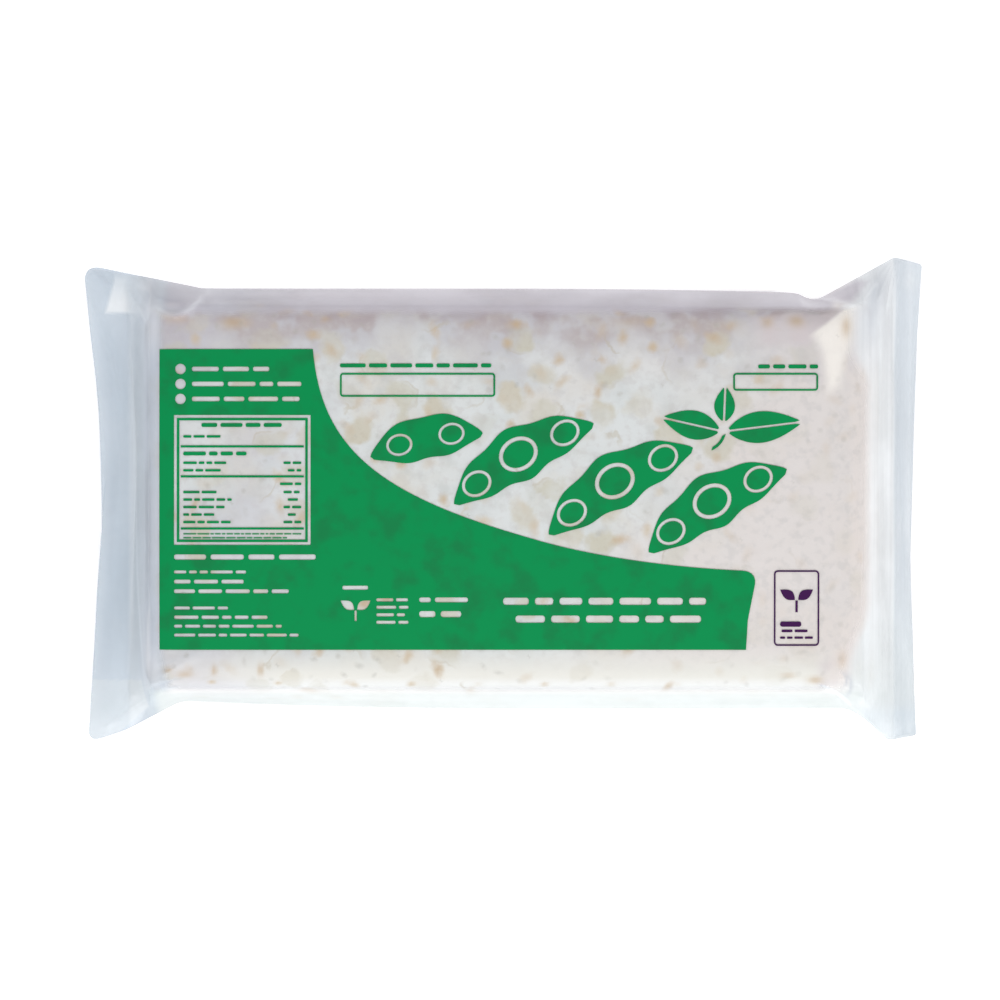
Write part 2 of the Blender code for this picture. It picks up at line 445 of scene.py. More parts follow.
line = ramp(tree, add(tree, "Math", operation="ABSOLUTE", i0=rim).outputs[0], 0.6, 0.0)
arc = ramp(tree, attribute(tree, "bean_turn"), 0.45, 1.0)
arc = times(tree, arc, ramp(tree, tone, 0.4, 0.9, 0.0, 0.42), covered)
line = times(tree, line, arc)
colour = blend_colours(tree, line, colour, BEAN_RIM)
ragged = ramp(tree, fine, 0.2, 0.8, -0.3, 0.3)
spot_edge = arithmetic(tree, "ADD", attribute(tree, "spot_rim"), ragged)
spot = blend_colours(tree, attribute(tree, "spot_tone"), SPOT_TAN, SPOT_ORANGE)
spot_shows = times(tree, ramp(tree, attribute(tree, "spot_bare"), 0.50, 1.0, 0.0, 0.85), covered)
spot_shows = times(tree, ramp(tree, spot_edge, 0.9, -1.4), spot_shows)
colour = blend_colours(tree, spot_shows, colour, spot)
colour = blend_colours(tree, attribute(tree, "nub"), colour, SPOT_TAN)
# Painted shade in patches along the back edge, where the slab rounds down away from the lamp.
edge_shade = ramp(tree, cloud(tree, place, 7 * mm, 2.0), 0.46, 0.64, 0.0, 0.42)
edge_shade = times(tree, edge_shade, ramp(tree, axes.outputs["Y"], 0.0475, 0.0515))
colour = blend_colours(tree, edge_shade, colour, EDGE_SHADE_MAUVE)
# Pinker at the two right corners, and at the back one partly painted light.
pink_corner = times(tree, attribute(tree, "pink_corner"), ramp(tree, middle, 0.3, 0.7, 0.6, 1.0))
colour = blend_colours(tree, pink_corner, colour, MOULD_PINK_CORNER)
# Painted light at the back right corner.
colour = blend_colours(tree, attribute(tree, "pale"), colour, MOULD_LIT_CORNER)
stained = attribute(tree, "stain")
stain_colour = blend_colours(tree, ramp(tree, stained, 0.7, 1.1), SPOT_ORANGE, STAIN_BROWN)
colour = blend_colours(tree, stained, colour, stain_colour)
speck_shows = times(
    tree,
    ramp(tree, attribute(tree, "speck_rim"), 0.6, -0.5, 0.0, 0.38),
    ramp(tree, to_right, 0.05, 0.08, 1.0, 0.7),
    ramp(tree, wide, 0.44, 0.6),
)
colour = blend_colours(tree, speck_shows, colour, SPECK_GREY)
bump = add(
    tree,
    "Bump",
    Strength=0.35,
    Distance=0.2 * mm,
    Height=arithmetic(tree, "ADD", fine, times(tree, middle, 1.5)),
)
skin = add(
    tree,
    "BsdfPrincipled",
    Base_Color=colour,
    Roughness=ramp(tree, middle, 0.3, 0.7, 0.6, 0.85),
    Specular_IOR_Level=0.3,
    Normal=bump.outputs["Normal"],
)
add(tree, "OutputMaterial", Surface=skin.outputs[0])
slab.data.materials.clear()
slab.data.materials.append(tempeh)
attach(slab, "root")


# ---------------------------------------------------------------------------------------------
# The film sleeve
# A flat tube of thin clear plastic, drawn tight over the slab and welded across both ends. It
# keeps the tube's folds half-way up the long sides, and creases where it closes down to the welds.

film_flat = (92 * mm, 47 * mm)  # half the length and width of its flat middles
film_cell = 8  # they are cut into squares this wide, in mm
fold_angle = math.radians(42)  # edges sharper than this keep a crease when the film is smoothed
rim_angle = math.radians(50)  # and edges sharper than this, at the cut ends, stay crisp
crease_steps = 24  # straight runs in the route of each crease

film_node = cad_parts["sealed_pack"]
film = bpy.data.objects.new("film_sleeve", film_node.data.copy())
bpy.context.scene.collection.objects.link(film)
edit(film)
bpy.ops.mesh.select_all(action="SELECT")
bpy.ops.mesh.remove_doubles(threshold=1e-6)


def is_flat(*ends):
    """Whether an edge lies in the flat middle of the upper or the lower film."""
    return all(
        abs(p.co.x) < film_flat[0] and abs(p.co.y) < film_flat[1] and abs(p.normal.z) > 0.97
        for p in ends
    )


# The flat middles are cut into even squares, so that the film is smooth there.
for side in (-1, 1):
    select_edges(
        film, lambda a, b: is_flat(a, b) and min(a.normal.z * side, b.normal.z * side) > 0
    )
    bpy.ops.mesh.select_mode(type="FACE")
    bpy.ops.mesh.dissolve_faces()
for direction, reach in (((1, 0, 0), 80), ((0, 1, 0), 40)):
    for place in range(-reach, reach + 1, film_cell):
        select_edges(film, is_flat)
        bpy.ops.mesh.bisect(plane_co=Vector(direction) * place * mm, plane_no=direction)
bpy.ops.mesh.select_mode(type="EDGE")
bpy.ops.mesh.select_all(action="SELECT")
bpy.ops.mesh.tris_convert_to_quads(face_threshold=1.2, shape_threshold=math.pi)
apply_modifier(film, "SHRINKWRAP", target=film_node, wrap_method="NEAREST_SURFACEPOINT")
edit(film)
bpy.ops.mesh.select_all(action="DESELECT")
bpy.ops.mesh.edges_select_sharp(sharpness=fold_angle)
bpy.ops.transform.edge_crease(value=0.8)
bpy.ops.object.mode_set(mode="OBJECT")
apply_modifier(film, "SUBSURF", levels=2, render_levels=2)
for longest in (1.5 * mm, 0.9 * mm):  # finer in the upper film at the ends, where it creases
    select_edges(
        film,
        lambda a, b: min(abs(a.co.x), abs(b.co.x)) > 84 * mm
        and min(a.normal.z, b.normal.z) > 0.1
        and (a.co - b.co).length > longest,
    )
    bpy.ops.mesh.subdivide(number_cuts=1)
bpy.ops.object.mode_set(mode="OBJECT")

points = read_points(film)
upper = smoothstep(-0.2, 0.2, read_normals(film)[:, 2])
closed = smoothstep(101 * mm, 110 * mm, abs(points[:, 0]))
lift = np.zeros(len(points))
white = np.zeros(len(points))
fold_shade = np.zeros(len(points))


def crease(route, width, height, whiteness=0.6, sharp=0.0, spread=0.42):
    """Raises a fold in the film along a bezier route of (x, y) places in millimetres.

    The fold is round if sharp is 0, and comes to a ridge if it is 1. A line of that spread runs
    along it, white as a painted highlight and partly as creased film that turns white, or dark as
    painted shade in the fold if whiteness is less than 0.
    """
    global lift, white, fold_shade
    places = interpolate_bezier(*[Vector(place) for place in route], crease_steps + 1)
    nearest = np.full(len(points), 1.0)
    share = np.zeros(len(points))
    for step in range(crease_steps):
        start, stop = np.array(places[step]) * mm, np.array(places[step + 1]) * mm
        run = stop - start
        t = np.clip((points[:, :2] - start) @ run / (run @ run), 0, 1)
        gap = np.linalg.norm(points[:, :2] - start - t[:, None] * run, axis=1)
        share = np.where(gap < nearest, (step + t) / crease_steps, share)
        nearest = np.minimum(gap, nearest)
    fade = np.sin(math.pi * np.clip(share, 0.02, 0.98)) ** 0.6
    gap = nearest / (width * mm)
    fold = sharp * np.clip(1 - gap, 0, 1) + (1 - sharp) * np.exp(-2.5 * gap**2)
    lift += height * mm * fold * fade
    line = np.exp(-((nearest / (spread * mm)) ** 2)) * fade
    white = np.maximum(white, whiteness * line)
    fold_shade = np.maximum(fold_shade, -whiteness * line)


# Right end: the fold at the weld, the fan of folds to the back tip, and those at the front.
crease(((111.8, 68.5), (111.5, 40), (111.3, 0), (111.0, -67)), 1.4, 0.2, 0.2, 1.0)
crease(((111.8, 68.4), (111.6, 62), (111.5, 54), (111.2, 34)), 1.0, 0.15, 0.8, 1.0, 0.42)
crease(((109.9, 44), (109.6, 20), (109.6, -20), (109.4, -62)), 1.4, 0.14, 0.08, 0.3, 0.9)
crease(((103.1, 41.0), (103.1, 52.1), (105.2, 59.4), (110.6, 67.6)), 2.4, -0.4, -0.62, 0.0, 3.0)
crease(((101.6, 56.0), (104.6, 59.2), (107.8, 63.2), (111.6, 68.6)), 1.4, 0.35, 0.22, 0.6)
crease(((105.5, 55.0), (107.3, 58.5), (109.4, 63), (111.7, 68.4)), 1.0, 0.4, 0.35, 0.8, 0.3)
crease(((108.8, 53.0), (109.6, 57), (110.6, 62), (111.8, 68.0)), 1.0, 0.4, 0.40, 0.9, 0.3)
crease(((99.0, 58.6), (102, 60.8), (106, 64.3), (110.8, 68.2)), 2.2, 0.2, 0.05)
crease(((84.0, 58.2), (90.0, 56.8), (95.0, 55.4), (100.8, 54.0)), 1.3, 0.6, 0.15, 0.5)
crease(((96.8, 53.0), (98.4, 54.6), (100.0, 55.2), (102.4, 55.4)), 0.9, 0.2, 0.15, 0.5, 0.3)
crease(((88.6, -52.2), (92.0, -53.2), (95.0, -55.0), (98.4, -58.4)), 1.2, 0.5, 1.0, 0.6, 0.34)
crease(((98.0, -58.6), (101.0, -60.6), (104.5, -63.5), (108.6, -67.6)), 1.8, 0.15, 0.1)
crease(((110.8, 68.4), (113.0, 68.5), (116.0, 68.4), (119.0, 68.2)), 1.0, 0.0, 0.6, 0.0, 0.5)
crease(((109.5, -68.5), (112.0, -68.2), (115.0, -67.6), (117.4, -66.9)), 1.0, 0.0, 0.5, 0.0, 0.5)
crease(((93.0, -48.0), (97.0, -48.6), (97.6, -52.4), (94.4, -54.0)), 1.2, 0.05, -0.75, 0.0, 0.5)
crease(((96.0, -48.5), (98.4, -51.0), (98.2, -54.0), (96.4, -56.6)), 1.4, 0.05, -0.6, 0.0, 0.6)
# Left end: the long soft folds beside the slab, and those round its two corners.
crease(((-107.3, 53), (-103.0, 13), (-106.5, -15), (-100.3, -57.5)), 1.5, 0.25, 0.14, 0.5)
crease(((-118.0, 60.0), (-113.5, 46), (-108.5, 38), (-108.4, 13)), 2.6, 0.35, 0.16, 0.0, 1.5)
crease(((-111.0, 40), (-109.6, 20), (-110.0, -10), (-111.5, -44)), 2.2, 0.2, 0.05, 0.0, 1.5)
crease(((-107.0, 60.0), (-104.5, 56.0), (-102.0, 52.5), (-100.5, 49.5)), 1.4, 0.3, 0.12, 0.2, 0.5)
crease(((-117.0, 65.4), (-114.5, 63.0), (-112.5, 61.0), (-110.0, 60.2)), 1.0, 0.2, -0.3, 0.3, 0.8)
crease(((-102.0, 59.0), (-100.0, 57.0), (-98.0, 55.5), (-96.5, 52.5)), 2.0, -0.5, -0.2, 0.0, 1.4)
crease(((-97.5, 54.0), (-93.5, 49.6), (-87.0, 51.0), (-83.4, 59.5)), 2.0, 0.8, 0.36, 0.2, 0.8)
crease(((-97.4, 56.6), (-95.6, 53.0), (-92.6, 52.0), (-89.6, 53.6)), 1.6, -0.3, -0.4, 0.0, 0.9)
crease(((-84.0, 52.6), (-80.0, 54.6), (-76.0, 56.4), (-70.0, 57.6)), 1.8, 0.4, 0.10, 0.2, 0.9)
crease(((-115.0, -66.0), (-108.0, -61.5), (-102.0, -56.5), (-94.0, -53.6)), 1.8, 0.1, 0.08)
crease(((-102.6, -53.8), (-99.0, -52.6), (-95.0, -51.0), (-90.0, -50.6)), 1.4, 0.4, 0.25, 0.4)
crease(((-96.8, -54.8), (-95.2, -52.4), (-93.6, -54.0), (-91.6, -52.8)), 1.0, 0.1, 0.4, 0.3, 0.5)
crease(((-97.4, -52.6), (-95.6, -52.2), (-93.6, -51.6), (-91.4, -50.0)), 1.0, 0.1, -0.4, 0.0, 0.5)
crease(((-98.5, -50.6), (-95.0, -49.4), (-91.0, -46.4), (-85.0, -43.8)), 1.6, 0.5, -0.16, 0.2, 0.8)
crease(((-97.6, -46.4), (-94.0, -46.8), (-90.0, -44.2), (-86.0, -43.4)), 1.2, 0.3, 0.10)
across, along = points[:, 1] / mm, points[:, 0] / mm
noise = np.random.default_rng(5)
for _ in range(9):  # the soft waves of loose film beyond the slab
    length = noise.uniform(7, 22)
    turn = noise.uniform(-0.35, 0.35)
    phase = noise.uniform(0, 2 * math.pi)
    way = along * math.cos(turn) + across * math.sin(turn)
    wave = np.sin(way * 2 * math.pi / length + phase)
    lift += 0.009 * mm * length * wave * smoothstep(100, 107, abs(along))
sheet_share = upper + (1 - upper) * closed
points[:, 2] += lift * sheet_share
write_points(film, points)
loose = film.vertex_groups.new(name="loose")  # the steep film at the two back corners
steep = (abs(points[:, 0]) > 95 * mm) & (points[:, 1] > 53 * mm) & (read_normals(film)[:, 2] > 0.2)
loose.add([int(i) for i in np.flatnonzero(steep)], 1.0, "REPLACE")
apply_modifier(film, "SMOOTH", factor=0.5, iterations=4, vertex_group=loose.name)
film.vertex_groups.clear()
apply_modifier(  # the film presses the slab into its own shape
    slab,
    "SHRINKWRAP",
    target=film,
    wrap_method="NEAREST_SURFACEPOINT",
    wrap_mode="INSIDE",
    offset=slab_clearance,
)

# How milky the film looks: clear where it lies on the slab, and milky where it stands free.
back_line = 52.2 + 1.1 * smoothstep(20, 80, along)
at_back = smoothstep(-1.3, 1.3, across - back_line)
at_front = smoothstep(-52.2, -54.8, across)
at_left = smoothstep(-94.4, -98.2, along - 2.0 * smoothstep(-42, -52, across))
beside_left = at_left * smoothstep(-104.5, -100.0, along) * smoothstep(-57, -45, across)
slab_end = 104.0 - 6.4 * smoothstep(-28, -50, across) - 4.5 * smoothstep(31, 42, across)
at_right = smoothstep(-5.0, 1.4, along - slab_end)
# Painted highlights, where the film catches the lamp: a bright patch on the left back ear, and a
# glint on the right weld.
highlight_patch = patch(
    points, [(-110.6, 63.4), (-113.3, 53.0), (-105.8, 53.0), (-106.6, 63.4)], (1.2, 1.4, 5.0, 4.0)
)
highlight_patch *= 0.6 + 0.4 * smoothstep(62, 55, across)
front_corner = patch(
    points,
    [(-118.5, -51.6), (-118.5, -69.5), (-112.5, -69.5), (-100.3, -58.6), (-102.2, -51.6)],
    0.7,
)
# Painted shade: the film at the back right, in the shade of the fold that runs up to the tip.
flap = patch(
    points, [(90.5, 56.4), (97.8, 54.6), (103.0, 61.4), (100.4, 62.4), (94.0, 59.6)], 3.0
)
# The painted light at the slab's back right corner also whitens the film there.
pale = np.maximum(*(patch(points, *part) for part in lit_corner))
seal = smoothstep(110.8, 111.6, along)
seal_glint = np.exp(-((along - 116.2) ** 2 + ((across - 62.0) / 1.6) ** 2) / 4.0)
beyond = smoothstep(98, 108, abs(along))
over_sides = np.maximum((0.80 - 0.08 * smoothstep(10, -60, along)) * at_back, 0.76 * at_front)
over_sides *= 1 - beyond
at_ends = 0.45 * at_left + 0.25 * beside_left + 0.74 * at_right - 0.16 * seal
# The painted highlights make the film milkier there too.
at_ends = at_ends + 0.25 * highlight_patch + 0.25 * seal_glint
milk = 0.04 + np.maximum(over_sides, at_ends)
# Painted light at the slab's two left corners, where the film over the gap would be in shade.
corner = np.exp(-((along + 97.9) ** 2) / 7 - (abs(across) - 48) ** 2 / 50)
milk = np.maximum(milk, 0.15 * pale) + 0.3 * fold_shade + 0.1 * corner
milk = np.clip(milk, 0.03, 0.94)
lower_share = np.clip(0.35 + 0.6 * np.maximum(at_back, at_front) * (1 - beyond), 0, 1)
milk *= upper + (1 - upper) * lower_share
store(film, "milk", milk)

# The film's colours, mostly painted light and shade: lavender along the back as painted shade,
# cyan along the front and on the ears, partly as a painted reflection of the lit table and lamp,
# pearly at both ends as painted light, and warm where it lies near the slab.
lavender_shade = smoothstep(-4.0, -1.0, across - back_line) * smoothstep(-98.0, -93.5, along)
lavender_shade *= 1 - at_right
lavender_shade = np.maximum(lavender_shade * (1 - 0.2 * smoothstep(-52, -78, along)), flap)
store(film, "lavender_shade", np.maximum(lavender_shade, 0.3 * beside_left * (1 - front_corner)))
# Partly painted light: cyan along the front and on the ears, for the lit table and lamp in front
# seen in the film.
cyan_lit = smoothstep(-52.8, -55.0, across) * smoothstep(-101, -96, along) * smoothstep(106, 99, along)
cyan_lit = np.maximum(cyan_lit, 0.45 * front_corner)
cyan_lit = np.maximum(cyan_lit, 0.6 * at_right * smoothstep(-15, -60, across))
ear = smoothstep(-56.0, -62.0, across)
store(film, "cyan_lit", cyan_lit * (1 - 0.5 * ear * at_right))
# Painted light: pearly over the right end's slope, which catches the lamp, and on the left slopes
# and back ear that face away from it.
pearly_lit = smoothstep(-8, -4, along - slab_end) * (1 - 0.5 * seal) * (1 - 0.35 * ear)
sloping = smoothstep(-107.4, -105.4, along) * smoothstep(-98.5, -100.5, along)
sloping *= 1 - 0.6 * at_back
back_ear = at_back * smoothstep(-93.5, -96.5, along) * smoothstep(-108, -102, along)
pearly_lit += 0.34 * sloping * (1 + 0.7 * front_corner) + 0.35 * back_ear + 0.5 * corner
store(film, "pearly_lit", np.clip(pearly_lit, 0, 1))
warm = smoothstep(1.0, -3.0, along - slab_end) * smoothstep(-8, -5, along - slab_end)
warm *= smoothstep(-56, -50, across)
warm_front = at_front * smoothstep(-55.5, -53.5, across) * (1 - at_left) * (1 - at_right)
warm = np.maximum(warm, warm_front)
store(film, "warm", warm * (1 - flap))
# Where the film is whitened by painted highlights and by the painted light of the slab's corner.
store(film, "bright", np.clip(highlight_patch + pale + 0.5 * seal_glint, 0, 1))
dull = smoothstep(-57, -62, across) * smoothstep(98, 102, along)  # crumpled, so it glints less
for x, y, size, share in (
    (96.4, -50.4, 4.0, 1.0),
    (-95.6, -51.2, 3.2, 0.9),
    (-105.5, -62.6, 6.0, 1.0),
):
    dull = np.maximum(dull, share * np.exp(-((along - x) ** 2 + (across - y) ** 2) / size**2))
store(film, "dull", dull)
# The white lines along the creases are painted highlights, partly the whitening of creased film,
# and the dark ones are painted shade.
store(film, "white", white * sheet_share)
store(film, "fold_shade", fold_shade * sheet_share)
store(film, "touching", smoothstep(-101, -97, along) * smoothstep(108, 104, along))
activate(film)
bpy.ops.object.shade_smooth()
edit(film)
bpy.ops.mesh.select_all(action="DESELECT")
bpy.ops.mesh.edges_select_sharp(sharpness=rim_angle)
bpy.ops.mesh.mark_sharp()
bpy.ops.object.mode_set(mode="OBJECT")

FILM_TINT = (0.955, 0.965, 0.975, 1)
FILM_BLUE = (0.475, 0.575, 0.66, 1)
FILM_WHITE = (0.935, 0.965, 0.965, 1)
FILM_LAVENDER_SHADE = (0.655, 0.62, 0.67, 1)
FILM_CYAN_LIT = (0.735, 0.79, 0.775, 1)
FILM_WARM = (0.95, 0.91, 0.88, 1)
FILM_FOLD_SHADE = (0.49, 0.53, 0.58, 1)
clear, tree = new_material("clear_film")
place = add(tree, "TexCoord").outputs["Object"]
axes = add(tree, "SeparateXYZ", Vector=place)
wide = cloud(tree, place, 22 * mm, 3.0)
streaked = add(tree, "Mapping", Vector=place, Scale=(1.0, 0.035, 0.2)).outputs[0]
streaks = cloud(tree, streaked, 2.4 * mm, 3.0)
edge_on = add(tree, "LayerWeight", Blend=0.35).outputs["Fresnel"]
haze = times(tree, attribute(tree, "milk"), ramp(tree, wide, 0.3, 0.7, 0.85, 1.15))
at_right = ramp(tree, axes.outputs["X"], 0.095, 0.104)
streaks = ramp(tree, streaks, 0.25, 0.75, -0.10, 0.12)
haze = arithmetic(tree, "ADD", haze, times(tree, streaks, at_right))
haze = arithmetic(tree, "ADD", haze, times(tree, edge_on, 0.3))
haze = arithmetic(tree, "ADD", haze, attribute(tree, "white"))
haze.node.use_clamp = True  # from 0 to 1
# Where the film touches the slab, most of the light that it scatters still goes in.
ray = add(tree, "LightPath").outputs
passing = arithmetic(tree, "MAXIMUM", ray["Is Shadow Ray"], ray["Is Diffuse Ray"])
passing = times(tree, passing, times(tree, attribute(tree, "touching"), 0.8))
haze = times(tree, haze, arithmetic(tree, "SUBTRACT", 1.0, passing))
# Painted light at both ends, pearly white.
milky = blend_colours(tree, attribute(tree, "pearly_lit"), FILM_BLUE, FILM_WHITE)
# Painted shade along the back and on the back right flap.
milky = blend_colours(tree, attribute(tree, "lavender_shade"), milky, FILM_LAVENDER_SHADE)
# Partly a painted reflection of the lit table and lamp, along the front.
milky = blend_colours(tree, attribute(tree, "cyan_lit"), milky, FILM_CYAN_LIT)
milky = blend_colours(tree, attribute(tree, "warm"), milky, FILM_WARM)
# Painted shade in the deep folds, and painted highlights along the creases and in the bright
# patches.
milky = blend_colours(tree, attribute(tree, "fold_shade"), milky, FILM_FOLD_SHADE)
highlight_or_whitening = arithmetic(tree, "MAXIMUM", attribute(tree, "white"), attribute(tree, "bright"))
milky = blend_colours(tree, highlight_or_whitening, milky, FILM_WHITE)
bump = add(tree, "Bump", Strength=0.15, Distance=0.3 * mm, Height=cloud(tree, place, 12 * mm, 1.0))
gloss = add(
    tree,
    "BsdfPrincipled",
    Base_Color=milky,
    Roughness=0.16,
    IOR=1.9,
    Specular_IOR_Level=ramp(tree, attribute(tree, "dull"), 0.0, 1.0, 0.5, 0.1),
    Normal=bump.outputs["Normal"],
)
see = add(tree, "BsdfTransparent", Color=FILM_TINT)
surface = add(tree, "MixShader", i0=haze, i1=see.outputs[0], i2=gloss.outputs[0])
add(tree, "OutputMaterial", Surface=surface.outputs[0])
film.data.materials.clear()
film.data.materials.append(clear)
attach(film, "root")
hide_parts("sealed_pack")


# ---------------------------------------------------------------------------------------------
# The print
# Thin green ink on the upper film: a field with a ruled panel, rows of plain bars, two boxes to
# write in, four soybean pods and three leaves. A small framed badge is in purple ink.

ink_height = 0.08 * mm  # above the film
ink_cells = 2.5  # the ink is cut into cells this wide, in mm, so that it lies on the film
corner_steps = (0, 22.5, 45, 67.5, 90)  # degrees round each corner of a box
field_left, field_top, field_bottom = -96.4, 41.9, -42.4


def box(left, bottom, right, top, radius=0.0):
    """A box's outline, with round corners if it has a radius."""
    if radius == 0:
        return [(left, bottom), (right, bottom), (right, top), (left, top)]
    corners = (
        (right - radius, top - radius, 0),
        (left + radius, top - radius, 90),
        (left + radius, bottom + radius, 180),
        (right - radius, bottom + radius, 270),
    )
    turns = ((x, y, math.radians(turn + step)) for x, y, turn in corners for step in corner_steps)
    return [(x + radius * math.cos(turn), y + radius * math.sin(turn)) for x, y, turn in turns]


def disc(x, y, radius, count=28):
    turns = [2 * math.pi * i / count for i in range(count)]
    return [(x + radius * math.cos(turn), y + radius * math.sin(turn)) for turn in turns]


def frame_line(left, bottom, right, top, thickness, radius=0.0):
    """The two outlines of a frame."""
    inner = max(radius - thickness, 0.0)
    return [
        box(left, bottom, right, top, radius),
        box(left + thickness, bottom + thickness, right - thickness, top - thickness, inner),
    ]


def bars(left, right, middle, height, seed, longest=4.2):
    """A row of round-ended bars of uneven length, in the place of a row of words this high."""
    random = np.random.default_rng(seed)
    row = []
    place = left
    half = height * 0.3
    while place < right - height:
        length = min(random.uniform(1.4, longest) * height, right - place)
        row.append(box(place, middle - half, place + length, middle + half, half * 0.8))
        place += length + height * 0.5
    return row


def ribbon(route, half_width, count=40):
    """The outline of a shape drawn along a bezier route. half_width gives its width on the way."""
    middle = interpolate_bezier(*[Vector(place) for place in route], count + 1)
    left, right = [], []
    for i, place in enumerate(middle):
        ahead = middle[min(i + 1, count)] - middle[max(i - 1, 0)]
        across = Vector((-ahead.y, ahead.x)).normalized() * half_width(i / count)
        left.append(tuple((place + across).xy))
        right.append(tuple((place - across).xy))
    return left + right[-2:0:-1]


def lay_ink(name, outlines):
    """Fills the outlines and lays them on the film. An outline inside another is a hole."""
    curve = bpy.data.curves.new(name, "CURVE")
    curve.dimensions = "2D"
    curve.fill_mode = "BOTH"
    for outline in outlines:
        spline = curve.splines.new("POLY")
        spline.points.add(len(outline) - 1)
        for point, (x, y) in zip(spline.points, outline):
            point.co = (x * mm, y * mm, 0, 1)
        spline.use_cyclic_u = True
    ink = bpy.data.objects.new(name, curve)
    bpy.context.scene.collection.objects.link(ink)
    activate(ink)
    bpy.ops.object.convert(target="MESH")
    ink = bpy.context.object
    edit(ink)
    bpy.ops.mesh.select_all(action="SELECT")
    bpy.ops.mesh.remove_doubles(threshold=1e-6)
    for axis, low, high in ((0, field_left, -field_left), (1, field_bottom, field_top)):
        direction = [float(axis == 0), float(axis == 1), 0.0]
        for step in range(1, int((high - low) / ink_cells)):
            place = [(low + step * ink_cells) * mm * share for share in direction]
            bpy.ops.mesh.select_all(action="SELECT")
            bpy.ops.mesh.bisect(plane_co=place, plane_no=direction)
    bpy.ops.mesh.select_all(action="SELECT")
    bpy.ops.mesh.normals_make_consistent()
    bpy.ops.object.mode_set(mode="OBJECT")
    points = read_points(ink)
    points[:, 2] = pack_high.z + 5 * mm
    write_points(ink, points)
    if ink.data.polygons[0].normal.z < 0:
        ink.data.flip_normals()
    apply_modifier(
        ink,
        "SHRINKWRAP",
        target=film,
        wrap_method="PROJECT",
        use_project_z=True,
        use_negative_direction=True,
        use_positive_direction=False,
    )
    points = read_points(ink)
    points[:, 2] += ink_height
    write_points(ink, points)
    activate(ink)
    bpy.ops.object.shade_smooth()
    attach(ink, "root")
    return ink


# The field, with its swept edge in three curves.
field = [(field_left, field_bottom), (field_left, field_top), (-53.3, field_top)]
for count, *route in (
    (33, (-53.3, field_top), (-51, 14), (-35, 1), (7.6, -11.1)),
    (17, (7.6, -11.1), (25, -16.4), (48, -19.4), (67.0, -20.2)),
    (9, (67.0, -20.2), (70, -20.4), (71.2, -22), (70.4, -25)),
):
    swept = interpolate_bezier(*[Vector(place) for place in route], count)
    field += [tuple(place) for place in swept[1:]]
field += [(68.6, -34.0), (68.1, field_bottom)]
green = [field]

# The rows beside discs at the top of the field, and the rows at its foot.
for row in range(3):
    middle = 36.3 - row * 4.2
    green.append(disc(-90.4, middle, 1.5, 20))
    green += bars(-87.2, (-65.5, -56.5, -57.0)[row], middle, 2.2, 40 + row)
green += bars(-92.2, -51.0, -16.4, 2.5, 50)
for row, (middle, right, height) in enumerate(
    ((-20.6, -72, 1.5), (-23.3, -70, 1.9), (-26.0, -60, 1.9), (-30.7, -75, 1.5))
    + ((-33.3, -66, 1.7), (-35.8, -62, 1.5), (-38.3, -56, 1.5))
):
    green += bars(-92.2, right, middle, height, 60 + row)

# The ruled panel.
panel = (-92.2, -13.0, -53.9, 23.4)
green.append(box(*panel))
green += frame_line(panel[0] + 0.8, panel[1] + 0.8, panel[2] - 0.8, panel[3] - 0.8, 0.7)
inside_left, inside_right = panel[0] + 2.6, panel[2] - 2.6
for rule in (14.6, 6.2, -8.4):
    green.append(box(panel[0] + 1.9, rule - 0.3, panel[2] - 1.9, rule + 0.3))
green += bars(-84.5, -62.0, 20.6, 1.8, 70)
green += bars(inside_left, -78.0, 17.4, 1.1, 71)
green += bars(inside_left, -70.5, 12.6, 1.7, 72)
for row, middle in enumerate((10.0, 7.9, 1.8, -0.3, -2.4, -4.5, -6.6)):
    green += bars(inside_left, -76.0 - 2.0 * (row % 3), middle, 1.1, 80 + row)
    green += bars(-61.5 + 1.2 * (row % 2), inside_right, middle, 1.1, 90 + row, 2.6)
green += bars(-62.5, inside_right, 4.1, 1.1, 97)
for row, middle in enumerate((-9.9, -11.0)):
    green += bars(inside_left, inside_right - 4 * row, middle, 0.55, 98 + row, 7)

# The two boxes to write in, each with a row over it.
green += frame_line(-45.7, 28.5, -2.2, 35.2, 0.5, 0.9)
green += bars(-45.7, -2.2, 37.3, 1.8, 110)
green += frame_line(64.5, 30.2, 88.3, 35.2, 0.5, 0.9)
green += bars(71.5, 88.3, 37.0, 1.8, 111)

# The rows and two plain marks in the foot of the field.
def seedling(x, y, size):
    """Two leaves on a stem."""
    made = [box(x - size * 0.07, y - size * 0.75, x + size * 0.07, y - size * 0.04)]
    for side in (-1, 1):
        base, tip = Vector((x + side * size * 0.1, y)), Vector((x + side * size, y + size * 0.62))
        low = Vector((x + side * size * 0.75, y - size * 0.05))
        high = Vector((x + side * size * 0.15, y + size * 0.65))
        under = interpolate_bezier(base, base.lerp(low, 0.7), low, tip, 12)
        over = interpolate_bezier(tip, high.lerp(tip, 0.3), high, base, 12)
        made.append([tuple(place.xy) for place in under[:-1] + over[:-1]])
    return made


green += bars(-45.0, -35.5, -25.0, 1.9, 120)
green += seedling(-41.3, -31.2, 4.2)
for row in range(4):
    green += bars(-35.5, -26.5, -28.4 - row * 2.1, 1.5, 121 + row)
green += bars(-23.5, -8.0, -28.4, 2.3, 126)
green += bars(-23.5, -8.0, -32.4, 2.9, 127)
green += bars(0.0, 59.5, -28.8, 3.4, 130, 3.0)
green += bars(3.5, 55.5, -33.8, 3.4, 131, 3.0)


